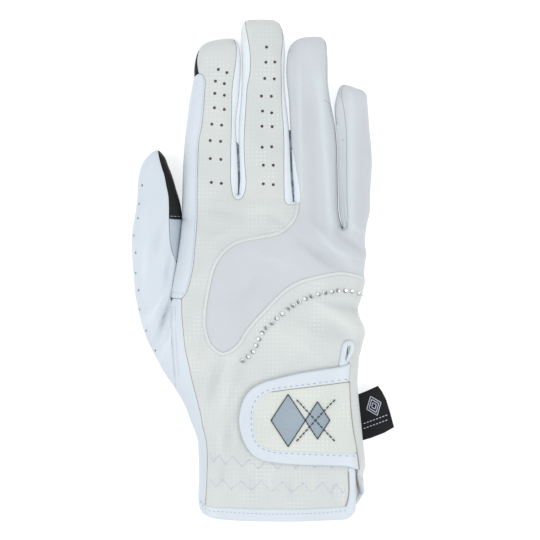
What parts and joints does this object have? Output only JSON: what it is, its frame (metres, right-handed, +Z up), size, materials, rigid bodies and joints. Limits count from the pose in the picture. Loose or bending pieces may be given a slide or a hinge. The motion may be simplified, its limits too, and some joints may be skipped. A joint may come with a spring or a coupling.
{
  "type": "right-hand horse riding glove",
  "caption": "Right-hand riding glove lying palm down, with a stretch knuckle insert, punched fingers, small cut stones, a bound wrist slit and a closure tab.",
  "frame": {"origin": "middle of the glove's outline seen from above, on the surface that it lies on", "axes": "+Y from the cuff to the fingertips, +X to the little-finger side, +Z up from the palm to the back of the hand"},
  "size_m": [0.1232, 0.2344, 0.0259],
  "materials": {
    "cream_leather": "soft matte with a fine embossed grid",
    "white_leather": "smooth, soft sheen",
    "binding": "smooth, soft sheen",
    "stretch_fabric": "fine matte knit",
    "black_leather": "matte",
    "hook_fastener": "matte",
    "woven_label": "satin weave",
    "crystal": "cut and polished"
  },
  "bodies": {
    "root": {"back_panel": "cream_leather", "stretch_panel": "stretch_fabric", "palm": "white_leather", "index_side_strip": "white_leather", "fourchette_index_middle": "white_leather", "fourchette_middle_ring": "white_leather", "fourchette_ring_little": "stretch_fabric", "index_touch_patch": "black_leather", "thumb_back": "white_leather", "thumb_touch_patch": "black_leather", "thumb_gusset": "stretch_fabric", "strap_panel": "cream_leather", "strap_binding": "binding", "strap_fastener": "hook_fastener", "cuff_binding": "binding", "vent_binding": "binding", "side_label": "woven_label", "rhinestone_01": "crystal", "rhinestone_02": "crystal", "rhinestone_03": "crystal", "rhinestone_04": "crystal", "rhinestone_05": "crystal", "rhinestone_06": "crystal", "rhinestone_07": "crystal", "rhinestone_08": "crystal", "rhinestone_09": "crystal", "rhinestone_10": "crystal", "rhinestone_11": "crystal", "rhinestone_12": "crystal", "rhinestone_13": "crystal", "rhinestone_14": "crystal", "rhinestone_15": "crystal", "rhinestone_16": "crystal", "rhinestone_17": "crystal", "rhinestone_18": "crystal", "rhinestone_19": "crystal", "rhinestone_20": "crystal", "rhinestone_21": "crystal", "rhinestone_22": "crystal", "rhinestone_23": "crystal"}
  },
  "joints": []
}
